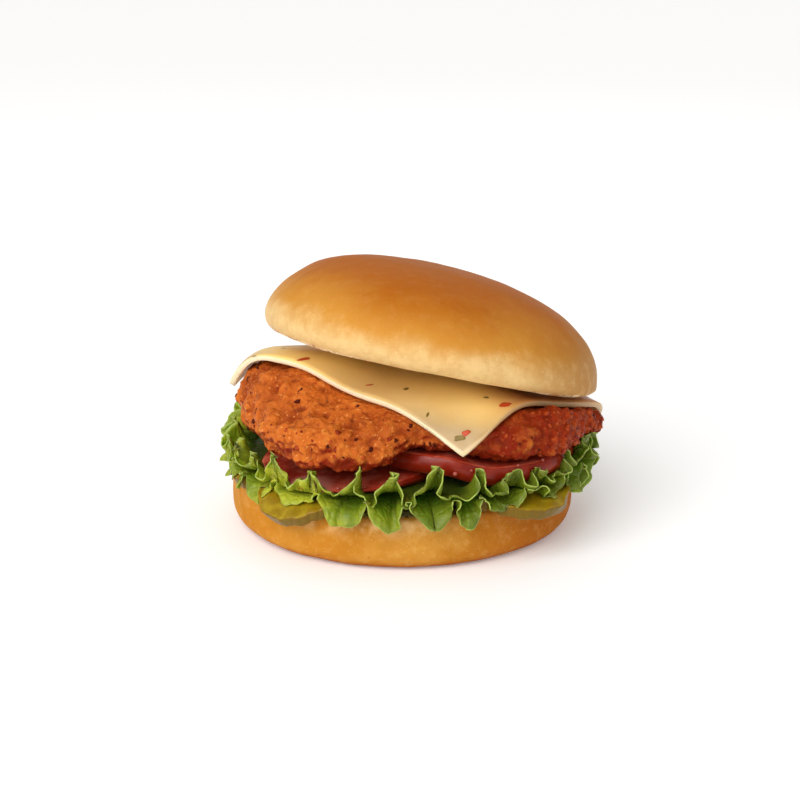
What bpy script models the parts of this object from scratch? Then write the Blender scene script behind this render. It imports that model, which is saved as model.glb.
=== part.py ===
"""Chicken burger, stacked as it is served.

From the table upwards: the heel of the bun, four crinkle-cut pickle chips, a frilly lettuce leaf,
two tomato slices, the breaded chicken fillet, a cheese slice hung over it by its corners, and the
crown of the bun, which leans to the right and back.

The origin is the middle of the heel's flat base, +Z is up and -Y is the side that is served to the
guest. Every piece is a solid of its own. Each one is shaped by height functions of the pieces that
carry it, so they lie on each other with a thin gap and never cut into each other.
"""

import math

import bmesh
import bpy
from mathutils import Matrix, Vector
from mathutils.bvhtree import BVHTree

MM = 0.001
GAP = 0.3 * MM  # between a piece and what it lies on

# Heel: the lower half of the bun.
HEEL_RADIUS = 52.5 * MM
HEEL_BASE_RADIUS = 46.2 * MM
HEEL_HEIGHT = 16.8 * MM
HEEL_FOOT = 5.9 * MM  # height of the rounding at the foot
HEEL_RIM = 2.0 * MM  # rounding of the cut edge

# Pickle chips: name, centre, radius, how far the edge droops past the heel.
PICKLE_THICKNESS = 4.6 * MM  # over the crests of both faces
PICKLE_WAVE = 0.5 * MM
PICKLE_PITCH = 5.6 * MM
PICKLES = {
    "pickle_left": ((-36.0 * MM, -18.6 * MM), 14.5 * MM, 2.0 * MM),
    "pickle_front_left": ((-26.0 * MM, -35.0 * MM), 16.0 * MM, 3.0 * MM),
    "pickle_front_right": ((31.5 * MM, -32.5 * MM), 17.0 * MM, 1.3 * MM),
    "pickle_back": ((2.0 * MM, 36.5 * MM), 17.0 * MM, 1.5 * MM),
}

# Lettuce: one leaf with a frilled margin.
LEAF_THICKNESS = 0.7 * MM
LEAF_FLAT = 44.0 * MM  # the leaf is flat between the pickles and the tomato up to here
LEAF_RADIUS = 57.0 * MM
LEAF_LOWEST = 14.6 * MM
LEAF_FRILLS = 24
LEAF_RISE = 5.5 * MM
LEAF_DROP = 4.5 * MM
LEAF_TUFTS = (  # bearing, spread, and how much higher and lower the frills reach there
    (-176, 20, 6.0 * MM, -1.5 * MM),
    (-150, 14, 1.0 * MM, -1.0 * MM),
    (-95, 14, 3.0 * MM, 3.5 * MM),
    (-62, 16, 2.5 * MM, 0.0 * MM),
    (-20, 18, 3.5 * MM, -0.5 * MM),
    (8, 12, -2.5 * MM, 0.0 * MM),
    (90, 50, 2.0 * MM, 0.0 * MM),
)

# Tomato slices: the left one lies on the leaf, the right one laps over its edge.
LEFT_TOMATO = (-15.0 * MM, -23.0 * MM)
LEFT_TOMATO_RADIUS = 27.0 * MM
LEFT_TOMATO_THICKNESS = 4.5 * MM
RIGHT_TOMATO = (19.0 * MM, -16.5 * MM)
RIGHT_TOMATO_RADIUS = 32.5 * MM
RIGHT_TOMATO_THICKNESS = 5.6 * MM
RIGHT_TOMATO_LIFT = 1.6 * MM  # it rests on bunched lettuce, this far above the leaf

# Chicken fillet: a centre, a mean radius and bulges of its outline, as bearing, size, spread.
FILLET_CENTRE = (5.0 * MM, -5.0 * MM)
FILLET_RADIUS = 50.0 * MM
FILLET_BULGES = (
    (-8, 5.5 * MM, 24),
    (-42, 5.5 * MM, 16),
    (-88, -8.0 * MM, 16),
    (-129, 7.5 * MM, 20),
    (178, 5.0 * MM, 26),
    (100, -3.5 * MM, 34),
)
FILLET_PLATEAU = 47.6 * MM  # height of its top between the lumps
FILLET_LUMPS = (  # centre, height above the plateau, spread
    ((-36.0 * MM, -13.0 * MM), 13.5 * MM, 16.5 * MM),
    ((-37.0 * MM, 9.0 * MM), 7.5 * MM, 17.0 * MM),
    ((45.0 * MM, -31.0 * MM), 7.0 * MM, 10.0 * MM),
    ((16.0 * MM, -50.0 * MM), -5.0 * MM, 10.0 * MM),
    ((62.0 * MM, 6.0 * MM), -10.5 * MM, 17.0 * MM),
)
FILLET_ROUND_LEFT = 2.0  # powers of its rounded side: 2 is an ellipse, more is squarer
FILLET_ROUND_RIGHT = 3.2
FILLET_ROUND_BOTTOM = 5.0

# Cheese slice: an oblong hung by its corners, with a long side at the left front.
CHEESE_LENGTH = 99.0 * MM
CHEESE_WIDTH = 89.0 * MM
CHEESE_THICKNESS = 1.9 * MM
CHEESE_CENTRE = (9.6 * MM, 9.6 * MM)
CHEESE_TURN = 7.0  # degrees that the corner at the right lies behind the one at the left
CHEESE_STEEPEST = 3.2  # slope at which it leaves the fillet and hangs free

# Crown: the upper half of the bun.
CROWN_RADIUS = 51.9 * MM
CROWN_CUT_RADIUS = 47.1 * MM
CROWN_HEIGHT = 27.2 * MM
CROWN_ROUNDING = 6.1 * MM  # height of its widest line above the cut
CROWN_CENTRE = Vector((8.4 * MM, 0.0, 50.7 * MM))  # middle of the cut face
CROWN_LEAN = math.radians(11.7)  # its right side is lower
CROWN_PITCH = math.radians(8.0)  # its front is raised
CROWN_SAG = 1.8 * MM  # its left and right ends droop by this much
CROWN_PRESSED = 0.65  # most of the rounding that its right end loses where it rests
CROWN_SHEAR = -0.21  # the dome stands a little to the left of the cut
CROWN_FLANK = 2.38  # powers of the dome's outline: 2 and 2 make half an ellipse
CROWN_TOP = 1.9


# Shaping tools


def ease(x):
    """0 below 0, 1 above 1, and a smooth step between."""
    x = min(1.0, max(0.0, x))
    return x * x * (3 - 2 * x)


def arc(start, end, steps, outwards=True):
    """A quarter of an ellipse from start to end, as points (r, z).

    Outwards it leaves start along r, and otherwise along z.
    """
    points = []
    for i in range(steps + 1):
        turn = math.pi / 2 * i / steps
        shares = math.sin(turn), 1 - math.cos(turn)
        share_r, share_z = shares if outwards else reversed(shares)
        r = start[0] + (end[0] - start[0]) * share_r
        points.append((r, start[1] + (end[1] - start[1]) * share_z))
    return points


def soft_min(a, b, soft):
    """The lower of two heights, with a rounded change between them."""
    return min(a, b) - soft * math.log1p(math.exp(-abs(a - b) / soft))


def turned(profile, steps):
    """The solid that a profile of points (r, z) sweeps round the Z axis."""
    mesh = bmesh.new()
    points = [mesh.verts.new((r, 0, z)) for r, z in profile]
    edges = [mesh.edges.new(pair) for pair in zip(points, points[1:])]
    bmesh.ops.spin(
        mesh,
        geom=points + edges,
        cent=(0, 0, 0),
        axis=(0, 0, 1),
        angle=2 * math.pi,
        steps=steps,
        use_merge=True,
    )
    bmesh.ops.remove_doubles(mesh, verts=mesh.verts, dist=1e-6)
    bmesh.ops.recalc_face_normals(mesh, faces=mesh.faces)
    return mesh


def reshape(mesh, rule):
    """Moves each corner of the mesh to where the rule says."""
    for v in mesh.verts:
        v.co = rule(v.co.copy())


def raised_clear(sheet, below, space):
    """Raises the corners of a sheet until its faces clear the piece below it."""
    tree = BVHTree.FromObject(below, bpy.context.evaluated_depsgraph_get())
    step = 0.8 * MM
    sides = [Vector((x, y, 0)) for x, y in ((0, 0), (step, 0), (-step, 0), (0, step), (0, -step))]
    for _ in range(5):
        lift = {v: 0.0 for v in sheet.verts}
        for face in sheet.faces:
            spots = [(v.co.copy(), [v]) for v in face.verts]
            spots += [((e.verts[0].co + e.verts[1].co) / 2, list(e.verts)) for e in face.edges]
            spots.append((face.calc_center_median(), list(face.verts)))
            for spot, corners in spots:
                for side in sides:
                    above = Vector((spot.x, spot.y, 0.1)) + side
                    hit = tree.ray_cast(above, Vector((0, 0, -1)))[0]
                    if not hit:
                        continue
                    short = hit.z + space - spot.z
                    for v in corners:
                        lift[v] = max(lift[v], short)
        for v, height in lift.items():
            v.co.z += height


def finished(name, mesh, colour, roughness):
    """The mesh as an object of its own, with its own material."""
    data = bpy.data.meshes.new(name)
    mesh.to_mesh(data)
    mesh.free()
    material = bpy.data.materials.new(name)
    material.use_nodes = True
    shader = material.node_tree.nodes["Principled BSDF"]
    shader.inputs["Base Color"].default_value = (*colour, 1)
    shader.inputs["Roughness"].default_value = roughness
    shader.inputs["Metallic"].default_value = 0.0
    data.materials.append(material)
    data.shade_smooth()
    piece = bpy.data.objects.new(name, data)
    bpy.context.scene.collection.objects.link(piece)
    return piece


# Heights that the pieces share


def crown_axis():
    """The direction that the crown's dome points in."""
    return crown_turn() @ Vector((0, 0, 1))


def crown_turn():
    return Matrix.Rotation(CROWN_LEAN, 3, "Y") @ Matrix.Rotation(-CROWN_PITCH, 3, "X")


def crown_pressed(across):
    """Share of the rim's rounding lost at a distance across: the right end rests on the meat."""
    return CROWN_PRESSED * ease((across / CROWN_RADIUS - 0.35) / 0.5)


def crown_underside(x, y):
    """Height of the crown's cut face above a place, or of its rounded rim further out."""
    axis = crown_axis()
    across, along = x - CROWN_CENTRE.x, y - CROWN_CENTRE.y
    fall = (axis.x * across + axis.y * along) / axis.z
    sag = CROWN_SAG * (across / CROWN_RADIUS) ** 2
    past = (math.hypot(across, along) - CROWN_CUT_RADIUS) / (CROWN_RADIUS - CROWN_CUT_RADIUS)
    round_rim = CROWN_ROUNDING * (1 - math.sqrt(1 - min(1.0, max(0.0, past)) ** 2))
    return CROWN_CENTRE.z - fall - sag + round_rim * (1 - crown_pressed(across))


def pickle_top():
    return HEEL_HEIGHT + GAP + PICKLE_THICKNESS


def leaf_height():
    """Height of the flat middle of the leaf, half way through it."""
    return pickle_top() + GAP + LEAF_THICKNESS / 2


def left_tomato_bottom():
    return leaf_height() + LEAF_THICKNESS / 2 + GAP


def left_tomato_top(x, y):
    """The left slice is cut a little askew: it is thinner at the front and at the left."""
    askew = 0.09 * (0.6 * (x - LEFT_TOMATO[0]) + 0.8 * (y - LEFT_TOMATO[1]))
    full = left_tomato_bottom() + LEFT_TOMATO_THICKNESS
    return min(full, full - 1.1 * MM + askew)


def right_tomato_bottom(x):
    """The right slice lies level on the lettuce and climbs over the left slice."""
    level = left_tomato_bottom() + RIGHT_TOMATO_LIFT
    over_left = left_tomato_bottom() + LEFT_TOMATO_THICKNESS + GAP
    past_left = x - (LEFT_TOMATO[0] + LEFT_TOMATO_RADIUS)
    return level + (over_left - level) * ease((11 * MM - past_left) / (9 * MM))


def within(x, y, centre, radius, margin, ramp):
    """1 over a round slice and its margin, 0 further out than the ramp."""
    away = math.hypot(x - centre[0], y - centre[1])
    return ease((radius + margin + ramp - away) / ramp)


def fillet_bottom(x, y):
    """What the fillet lies on: the leaf, and the tomato slices where they are."""
    floor = left_tomato_bottom() + 0.8 * MM
    left = left_tomato_bottom() + LEFT_TOMATO_THICKNESS
    on_left = within(x, y, LEFT_TOMATO, LEFT_TOMATO_RADIUS, 3 * MM, 9 * MM)
    right = right_tomato_bottom(x - 4 * MM) + RIGHT_TOMATO_THICKNESS
    on_right = within(x, y, RIGHT_TOMATO, RIGHT_TOMATO_RADIUS, 3 * MM, 9 * MM)
    height = floor + (left - floor) * on_left
    return max(height, floor + (right - floor) * on_right) + GAP


def under_cheese(x, y):
    """1 where the cheese covers the fillet, 0 at its bare right front."""
    turn = math.radians(CHEESE_TURN)
    front = Vector((math.sin(turn), -math.cos(turn)))
    right = Vector((math.cos(turn), math.sin(turn)))
    place = Vector((x - CHEESE_CENTRE[0], y - CHEESE_CENTRE[1]))
    reach = (CHEESE_LENGTH * math.sqrt(0.5) - place.dot(front) - place.dot(right)) * math.sqrt(0.5)
    return ease((reach + 6 * MM) / (5 * MM))


def fillet_top(x, y):
    """Top of the fillet: a plateau with lumps, kept under the cheese and the crown."""
    height = FILLET_PLATEAU
    for (cx, cy), size, spread in FILLET_LUMPS:
        away = ((x - cx) ** 2 + (y - cy) ** 2) / spread**2
        height += size * math.exp(-away)
    room = 0.6 * MM + (CHEESE_THICKNESS + 1.6 * MM) * under_cheese(x, y)
    return soft_min(crown_underside(x, y) - room, height, 0.8 * MM)


def fillet_reach(bearing):
    """Radius of the fillet's outline in a direction, in degrees from +X."""
    reach = FILLET_RADIUS
    for centre, size, spread in FILLET_BULGES:
        off = (bearing - centre + 180) % 360 - 180
        reach += size * math.exp(-((off / spread) ** 2))
    return reach + 0.8 * MM * math.sin(math.radians(7 * bearing + 40))


def fillet_power(bearing):
    """How square its upper side is in a direction: it is rounder at the left."""
    right = (1 + math.cos(bearing)) / 2
    return FILLET_ROUND_LEFT + (FILLET_ROUND_RIGHT - FILLET_ROUND_LEFT) * right


def fillet_skin(x, y, share_up):
    """Height of the fillet's top skin (share_up 1) or bottom skin (-1), or None outside it."""
    dx, dy = x - FILLET_CENTRE[0], y - FILLET_CENTRE[1]
    share = math.hypot(dx, dy) / fillet_reach(math.degrees(math.atan2(dy, dx)))
    if share >= 1:
        return None
    low, high = fillet_bottom(x, y), fillet_top(x, y)
    power = fillet_power(math.atan2(dy, dx)) if share_up > 0 else FILLET_ROUND_BOTTOM
    return (low + high) / 2 + share_up * (high - low) / 2 * (1 - share**power) ** (1 / power)


# Heel


def heel():
    """A round, flat half bun with a rounded foot and a soft cut edge."""
    foot = arc((HEEL_BASE_RADIUS, 0), (HEEL_RADIUS, HEEL_FOOT), 4)
    rim_low = (HEEL_RADIUS - 0.3 * MM, HEEL_HEIGHT - HEEL_RIM)
    rim = arc(rim_low, (HEEL_RADIUS - HEEL_RIM, HEEL_HEIGHT), 3, outwards=False)
    face = [(HEEL_RADIUS * share, HEEL_HEIGHT - 0.2 * MM) for share in (0.6, 0)]
    mesh = turned([(0, 0)] + foot + rim + face, 44)

    def uneven(p):
        bearing = math.atan2(p.y, p.x)
        share = p.z / HEEL_HEIGHT * math.hypot(p.x, p.y) / HEEL_RADIUS
        swell = 0.3 * math.sin(2 * bearing + 0.6) + 0.25 * math.sin(5 * bearing)
        swell *= MM * share / HEEL_RADIUS
        return Vector((p.x * (1 + swell), p.y * (1 + swell), p.z))

    reshape(mesh, uneven)
    return finished("heel", mesh, (0.72, 0.42, 0.13), 0.55)


# Pickle chips


def pickle_droop(x, y, droop):
    """How far a chip bends down where it hangs past the heel's edge."""
    past = math.hypot(x, y) - (HEEL_RADIUS - HEEL_RIM / 2)
    return droop * (max(0.0, past) / (5.5 * MM)) ** 1.5


def pickle(name, beside=None):
    """A crinkle-cut chip on the heel. One that lies beside another is squeezed against it."""
    (cx, cy), radius, droop = PICKLES[name]
    waves = round(2 * radius / PICKLE_PITCH)
    mesh = bmesh.new()
    bmesh.ops.create_grid(mesh, x_segments=3 * waves, y_segments=5, size=1.0)

    def crinkled(p):
        across = math.sin(math.pi / 2 * p.x) * 0.995
        along = p.y * math.sqrt(1 - across**2)
        x, y = cx + radius * across, cy + radius * along
        if beside:
            (bx, by), other, _ = PICKLES[beside]
            away = Vector((x - bx, y - by))
            clear = other + 9 * GAP
            if away.length < clear:
                away = away.normalized() * clear
                x, y = bx + away.x, by + away.y
        wave = PICKLE_WAVE * math.cos(2 * math.pi * (radius * across) / PICKLE_PITCH)
        height = HEEL_HEIGHT + GAP + PICKLE_THICKNESS / 2 + wave
        return Vector((x, y, height - pickle_droop(x, y, droop)))

    reshape(mesh, crinkled)
    piece = finished(name, mesh, (0.30, 0.24, 0.03), 0.35)
    thick = piece.modifiers.new("chip thickness", "SOLIDIFY")
    thick.thickness = PICKLE_THICKNESS - 2 * PICKLE_WAVE
    thick.offset = 0.0
    return piece


# Lettuce


def ray_exit(bearing, centre, radius):
    """Distance from the origin at which a ray leaves a circle, or 0 if it misses it."""
    along = centre[0] * math.cos(bearing) + centre[1] * math.sin(bearing)
    inside = radius**2 - (centre[0] ** 2 + centre[1] ** 2 - along**2)
    return along + math.sqrt(inside) if inside > 0 else 0.0


def leaf_floor(x, y):
    """The lowest that the middle of the leaf may be over a place."""
    away = math.hypot(x, y)
    floor = LEAF_LOWEST + LEAF_THICKNESS
    if away < HEEL_RADIUS + 2.5 * MM:
        floor = HEEL_HEIGHT + GAP + LEAF_THICKNESS / 2
    for (cx, cy), radius, _ in PICKLES.values():
        if math.hypot(x - cx, y - cy) < radius + 2.5 * MM:
            floor = leaf_height()
    return floor


def leaf_ceiling(x, y):
    """The highest that the middle of the leaf may be under a place."""
    ceiling = 60 * MM
    space = GAP + LEAF_THICKNESS / 2
    if math.hypot(x - LEFT_TOMATO[0], y - LEFT_TOMATO[1]) < LEFT_TOMATO_RADIUS + 2.5 * MM:
        ceiling = left_tomato_bottom() - space
    if math.hypot(x - RIGHT_TOMATO[0], y - RIGHT_TOMATO[1]) < RIGHT_TOMATO_RADIUS + 2.5 * MM:
        ceiling = min(ceiling, right_tomato_bottom(x) - space - 0.5 * MM)
    above = fillet_skin(x, y, -1)
    if above is not None:
        ceiling = min(ceiling, above - space - 1.0 * MM)
    return ceiling


def lettuce():
    """A round leaf, flat in the stack, whose margin stands out of it in frills."""
    columns = LEAF_FRILLS * 5
    rows = (0.0, 0.3, 0.55, 0.8, 1.0)
    mesh = bmesh.new()
    middle = mesh.verts.new((0, 0, leaf_height()))
    made = []
    for share in rows:
        bearings = [2 * math.pi * column / columns for column in range(columns)]
        made.append([mesh.verts.new(leaf_point(bearing, share)) for bearing in bearings])
    for i in range(columns):
        mesh.faces.new((middle, made[0][i], made[0][(i + 1) % columns]))
    for inner, outer in zip(made, made[1:]):
        for i in range(columns):
            j = (i + 1) % columns
            mesh.faces.new((inner[i], outer[i], outer[j], inner[j]))
    bmesh.ops.recalc_face_normals(mesh, faces=mesh.faces)
    piece = finished("lettuce", mesh, (0.20, 0.27, 0.03), 0.45)
    thick = piece.modifiers.new("leaf thickness", "SOLIDIFY")
    thick.thickness = LEAF_THICKNESS
    thick.offset = 0.0
    return piece


def leaf_point(bearing, share):
    """A point a share of the way through the margin, from where the tomato stops to its rim."""
    stack = max(
        LEAF_FLAT,
        ray_exit(bearing, LEFT_TOMATO, LEFT_TOMATO_RADIUS) + 1.5 * MM,
        ray_exit(bearing, RIGHT_TOMATO, RIGHT_TOMATO_RADIUS) + 1.5 * MM,
    )
    wander = 1.6 * math.sin(3 * bearing + 0.8) + 0.9 * math.sin(5 * bearing)
    turn = LEAF_FRILLS * bearing + wander
    frill = math.sin(turn)
    reach = max(LEAF_RADIUS + 2.5 * MM * math.cos(bearing), stack + 7 * MM)
    reach += (1.6 * math.cos(turn + 0.9) + 0.8 * math.sin(2.6 * turn)) * MM
    away = stack + (reach - stack) * share
    lean = bearing + 0.03 * share * math.sin(2 * turn)
    x, y = away * math.cos(lean), away * math.sin(lean)
    rise, drop = LEAF_RISE, LEAF_DROP
    for middle, spread, higher, lower in LEAF_TUFTS:
        off = (math.degrees(bearing) - middle + 180) % 360 - 180
        near = math.exp(-((off / spread) ** 2))
        rise += higher * near
        drop += lower * near
    height = leaf_height() + (rise if frill > 0 else drop) * frill * share**1.3
    low, high = leaf_floor(x, y), leaf_ceiling(x, y)
    spare = 0.5 * MM if share > 0.3 else 0.0
    return (x, y, max(low + spare, min(high - spare, height)) if high > low else low)


# Tomato


def left_tomato():
    radius = LEFT_TOMATO_RADIUS
    mesh = turned(tomato_profile(radius, LEFT_TOMATO_THICKNESS, (0.6,)), 32)

    def placed(p):
        x, y = p.x + LEFT_TOMATO[0], p.y + LEFT_TOMATO[1]
        share = p.z / LEFT_TOMATO_THICKNESS
        low = left_tomato_bottom()
        return Vector((x, y, low + share * (left_tomato_top(x, y) - low)))

    reshape(mesh, placed)
    return finished("tomato_left", mesh, (0.35, 0.03, 0.02), 0.25)


def right_tomato():
    rings = (0.3, 0.6, 0.85)
    mesh = turned(tomato_profile(RIGHT_TOMATO_RADIUS, RIGHT_TOMATO_THICKNESS, rings), 36)

    def placed(p):
        x, y = p.x + RIGHT_TOMATO[0], p.y + RIGHT_TOMATO[1]
        return Vector((x, y, right_tomato_bottom(x) + p.z))

    reshape(mesh, placed)
    return finished("tomato_right", mesh, (0.35, 0.03, 0.02), 0.25)


def tomato_profile(radius, thickness, rings):
    """A slice through a ripe tomato: its skin side is a little round, its faces are flat."""
    side = [(radius - 1.2 * MM, 0), (radius - 0.2 * MM, thickness * 0.3)]
    side += [(radius, thickness * 0.6), (radius - 0.9 * MM, thickness)]
    below = [(0, 0)] + [(radius * share, 0) for share in rings]
    above = [(radius * share, thickness) for share in reversed(rings)] + [(0, thickness)]
    return below + side + above


# Chicken fillet


def fillet():
    """A pillow on the fillet's outline, between what it lies on and its lumpy top."""
    mesh = bmesh.new()
    bmesh.ops.create_uvsphere(mesh, u_segments=48, v_segments=20, radius=1.0)

    def breaded(p):
        share = min(1.0, math.hypot(p.x, p.y))
        bearing = math.atan2(p.y, p.x)
        power = fillet_power(bearing) if p.z > 0 else FILLET_ROUND_BOTTOM
        reach = fillet_reach(math.degrees(bearing)) * share
        x = FILLET_CENTRE[0] + reach * math.cos(bearing)
        y = FILLET_CENTRE[1] + reach * math.sin(bearing)
        low, high = fillet_bottom(x, y), fillet_top(x, y)
        up = math.copysign(max(0.0, 1 - share**power) ** (1 / power), p.z)
        height = (low + high) / 2 + up * (high - low) / 2
        crag = 0.9 * MM * math.sin(9 * bearing + 5 * p.z) * math.sin(6 * p.z + 3 * bearing)
        crag *= ease((share - 0.7) / 0.3)
        return Vector((x + crag * math.cos(bearing), y + crag * math.sin(bearing), height))

    reshape(mesh, breaded)
    return finished("chicken_fillet", mesh, (0.50, 0.13, 0.03), 0.5)


# Cheese


def cheese_fall(bearing):
    """The way down over the fillet in one direction, as (flat distance, plan distance, height)."""
    step = 0.8 * MM
    way = []
    flat = plan = 0.0
    cos, sin = math.cos(bearing), math.sin(bearing)
    height = None
    while flat < CHEESE_LENGTH * 0.75:
        x, y = CHEESE_CENTRE[0] + plan * cos, CHEESE_CENTRE[1] + plan * sin
        skin = fillet_skin(x, y, 1)
        free = -1.0 if height is None else height - CHEESE_STEEPEST * step
        target = free if skin is None else max(free, skin + GAP + 0.2 * MM)
        if height is not None:
            flat += math.hypot(step, target - height)
        height = target
        way.append((flat, plan, height))
        plan += step
    return way


def cheese(meat, leaf):
    """An oblong sheet that follows the fillet's top and hangs off it at the corners."""
    cells = 13
    mesh = bmesh.new()
    bmesh.ops.create_grid(mesh, x_segments=cells, y_segments=cells, size=CHEESE_LENGTH / 2)
    turn = math.radians(CHEESE_TURN + 45)

    def draped(p):
        across = (p.x + CHEESE_LENGTH / 2) * CHEESE_WIDTH / CHEESE_LENGTH - CHEESE_LENGTH / 2
        flat = math.hypot(across, p.y)
        bearing = math.atan2(p.y, across) + turn
        way = cheese_fall(bearing)
        _, plan, height = next(place for place in way if place[0] >= flat)
        x = CHEESE_CENTRE[0] + plan * math.cos(bearing)
        y = CHEESE_CENTRE[1] + plan * math.sin(bearing)
        return Vector((x, y, height))

    reshape(mesh, draped)
    for _ in range(2):
        bmesh.ops.smooth_vert(mesh, verts=mesh.verts, factor=0.5, use_axis_z=True)
        raised_clear(mesh, meat, 1.5 * GAP)
        raised_clear(mesh, leaf, 1.5 * GAP)
    bmesh.ops.recalc_face_normals(mesh, faces=mesh.faces)
    piece = finished("cheese_slice", mesh, (0.80, 0.58, 0.27), 0.4)
    thick = piece.modifiers.new("slice thickness", "SOLIDIFY")
    thick.thickness = CHEESE_THICKNESS
    thick.offset = 1.0
    return piece


# Crown


def crown():
    """The domed half of the bun. Its wide line is above the cut, and the dome leans left."""
    widest = (CROWN_RADIUS, CROWN_ROUNDING)
    edge = arc((CROWN_CUT_RADIUS, 0), widest, 4)
    dome = []
    steps = 9
    for i in range(1, steps + 1):
        turn = math.pi / 2 * i / steps
        radius = CROWN_RADIUS * max(0.0, math.cos(turn)) ** (2 / CROWN_FLANK) if i < steps else 0.0
        share = math.sin(turn) ** (2 / CROWN_TOP)
        dome.append((radius, CROWN_ROUNDING + (CROWN_HEIGHT - CROWN_ROUNDING) * share))
    mesh = turned([(0, 0), (CROWN_CUT_RADIUS * 0.55, 0)] + edge + dome, 44)

    def uneven(p):
        across = p.x / CROWN_RADIUS
        x = p.x + CROWN_SHEAR * p.z * (1 - across**2)
        share = p.z / CROWN_ROUNDING
        if share > 1:
            share = ((CROWN_HEIGHT - p.z) / (CROWN_HEIGHT - CROWN_ROUNDING)) ** 2
        pressed = share * CROWN_ROUNDING * crown_pressed(p.x)
        return Vector((x, p.y, p.z - pressed - CROWN_SAG * across**2))

    reshape(mesh, uneven)
    piece = finished("crown", mesh, (0.55, 0.25, 0.06), 0.35)
    piece.rotation_euler = crown_turn().to_euler()
    piece.location = CROWN_CENTRE
    return piece


def main():
    for thing in list(bpy.data.objects):
        bpy.data.objects.remove(thing)
    heel()
    pickle("pickle_left", beside="pickle_front_left")
    pickle("pickle_front_left")
    pickle("pickle_front_right")
    pickle("pickle_back")
    leaf = lettuce()
    left_tomato()
    right_tomato()
    meat = fillet()
    cheese(meat, leaf)
    crown()


main()
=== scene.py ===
import math
import random

import bpy
from mathutils import Matrix, Vector, noise
from mathutils.bvhtree import BVHTree


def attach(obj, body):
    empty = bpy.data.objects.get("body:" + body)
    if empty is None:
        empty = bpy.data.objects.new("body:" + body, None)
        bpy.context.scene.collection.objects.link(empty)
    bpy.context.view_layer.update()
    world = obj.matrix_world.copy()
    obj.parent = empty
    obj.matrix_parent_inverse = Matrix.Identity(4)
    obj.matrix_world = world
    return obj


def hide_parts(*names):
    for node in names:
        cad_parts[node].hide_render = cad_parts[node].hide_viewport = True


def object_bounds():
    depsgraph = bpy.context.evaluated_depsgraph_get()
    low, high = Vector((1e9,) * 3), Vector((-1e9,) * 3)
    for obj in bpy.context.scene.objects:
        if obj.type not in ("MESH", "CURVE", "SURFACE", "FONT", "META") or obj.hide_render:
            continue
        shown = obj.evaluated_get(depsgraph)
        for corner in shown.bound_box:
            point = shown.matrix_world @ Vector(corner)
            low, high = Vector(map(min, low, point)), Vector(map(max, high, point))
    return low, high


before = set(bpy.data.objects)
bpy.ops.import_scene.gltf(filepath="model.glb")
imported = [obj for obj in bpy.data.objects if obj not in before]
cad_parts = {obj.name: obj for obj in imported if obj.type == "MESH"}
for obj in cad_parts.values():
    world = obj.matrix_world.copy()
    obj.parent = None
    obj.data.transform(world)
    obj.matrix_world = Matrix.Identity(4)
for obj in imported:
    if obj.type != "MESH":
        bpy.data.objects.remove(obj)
cad_low, cad_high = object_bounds()

# The heel is the lower half of the bun: soft white bread in a thin golden crust, baked flat on a
# tray and cut level. Its cut face is lightly toasted, and it carries everything else.

MM = 0.001
HEEL_CUT = 16.6 * MM  # height of the cut face
HEEL_GOLD = (184, 120, 38)
HEEL_PALE = (198, 140, 58)
HEEL_RIGHT = (172, 88, 14)  # painted shade: the flank on the right lies away from the lamps
# painted light: the flank on the left faces the lamps
HEEL_LEFT = (200, 128, 34)
HEEL_BASE = (150, 66, 14)  # where it stood on the hot tray
HEEL_SCORCH = (160, 58, 20)
HEEL_SPECKLE = (250, 214, 150)
HEEL_LIGHT_BLOTCH = (238, 192, 118)
HEEL_DARK_BLOTCH = (164, 96, 28)
# a painted highlight on the front rim
HEEL_WORN = (244, 206, 146)
HEEL_WORN_AT = (-12 * MM, -50 * MM, 12 * MM)  # where a pale highlight is painted on the front rim
CRUMB_PALE = (244, 222, 176)
CRUMB_TOASTED = (190, 128, 60)
CRUMB_PORE = (150, 92, 40)


def only(piece):
    """Selects one piece and nothing else, and makes it the active one."""
    bpy.ops.object.select_all(action="DESELECT")
    piece.select_set(True)
    bpy.context.view_layer.objects.active = piece


def copied(node, name):
    """A copy of a CAD node's mesh, its loose triangles joined up, as a piece of its own."""
    piece = bpy.data.objects.new(name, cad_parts[node].data.copy())
    bpy.context.scene.collection.objects.link(piece)
    piece.data.materials.clear()
    only(piece)
    if piece.data.has_custom_normals:
        bpy.ops.mesh.customdata_custom_splitnormals_clear()
    bpy.ops.object.mode_set(mode="EDIT")
    bpy.ops.mesh.select_all(action="SELECT")
    bpy.ops.mesh.remove_doubles(threshold=0.02 * MM)
    bpy.ops.mesh.tris_convert_to_quads()
    bpy.ops.object.mode_set(mode="OBJECT")
    return piece


def changed(piece, kind, **settings):
    """Adds a modifier with these settings and applies it."""
    only(piece)
    modifier = piece.modifiers.new(kind.lower(), kind)
    for setting, value in settings.items():
        setattr(modifier, setting, value)
    bpy.ops.object.modifier_apply(modifier=modifier.name)


def smoothed(piece, levels, crease=0.0, sharp=40):
    """Smooths the facets away, but keeps edges sharper than this many degrees by the crease."""
    only(piece)
    bpy.ops.object.mode_set(mode="EDIT")
    bpy.ops.mesh.select_mode(type="EDGE")
    bpy.ops.mesh.select_all(action="DESELECT")
    bpy.ops.mesh.edges_select_sharp(sharpness=math.radians(sharp))
    bpy.ops.transform.edge_crease(value=crease)
    bpy.ops.mesh.select_mode(type="VERT")
    bpy.ops.object.mode_set(mode="OBJECT")
    changed(piece, "SUBSURF", levels=levels, render_levels=levels)
    piece.data.shade_smooth()


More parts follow.
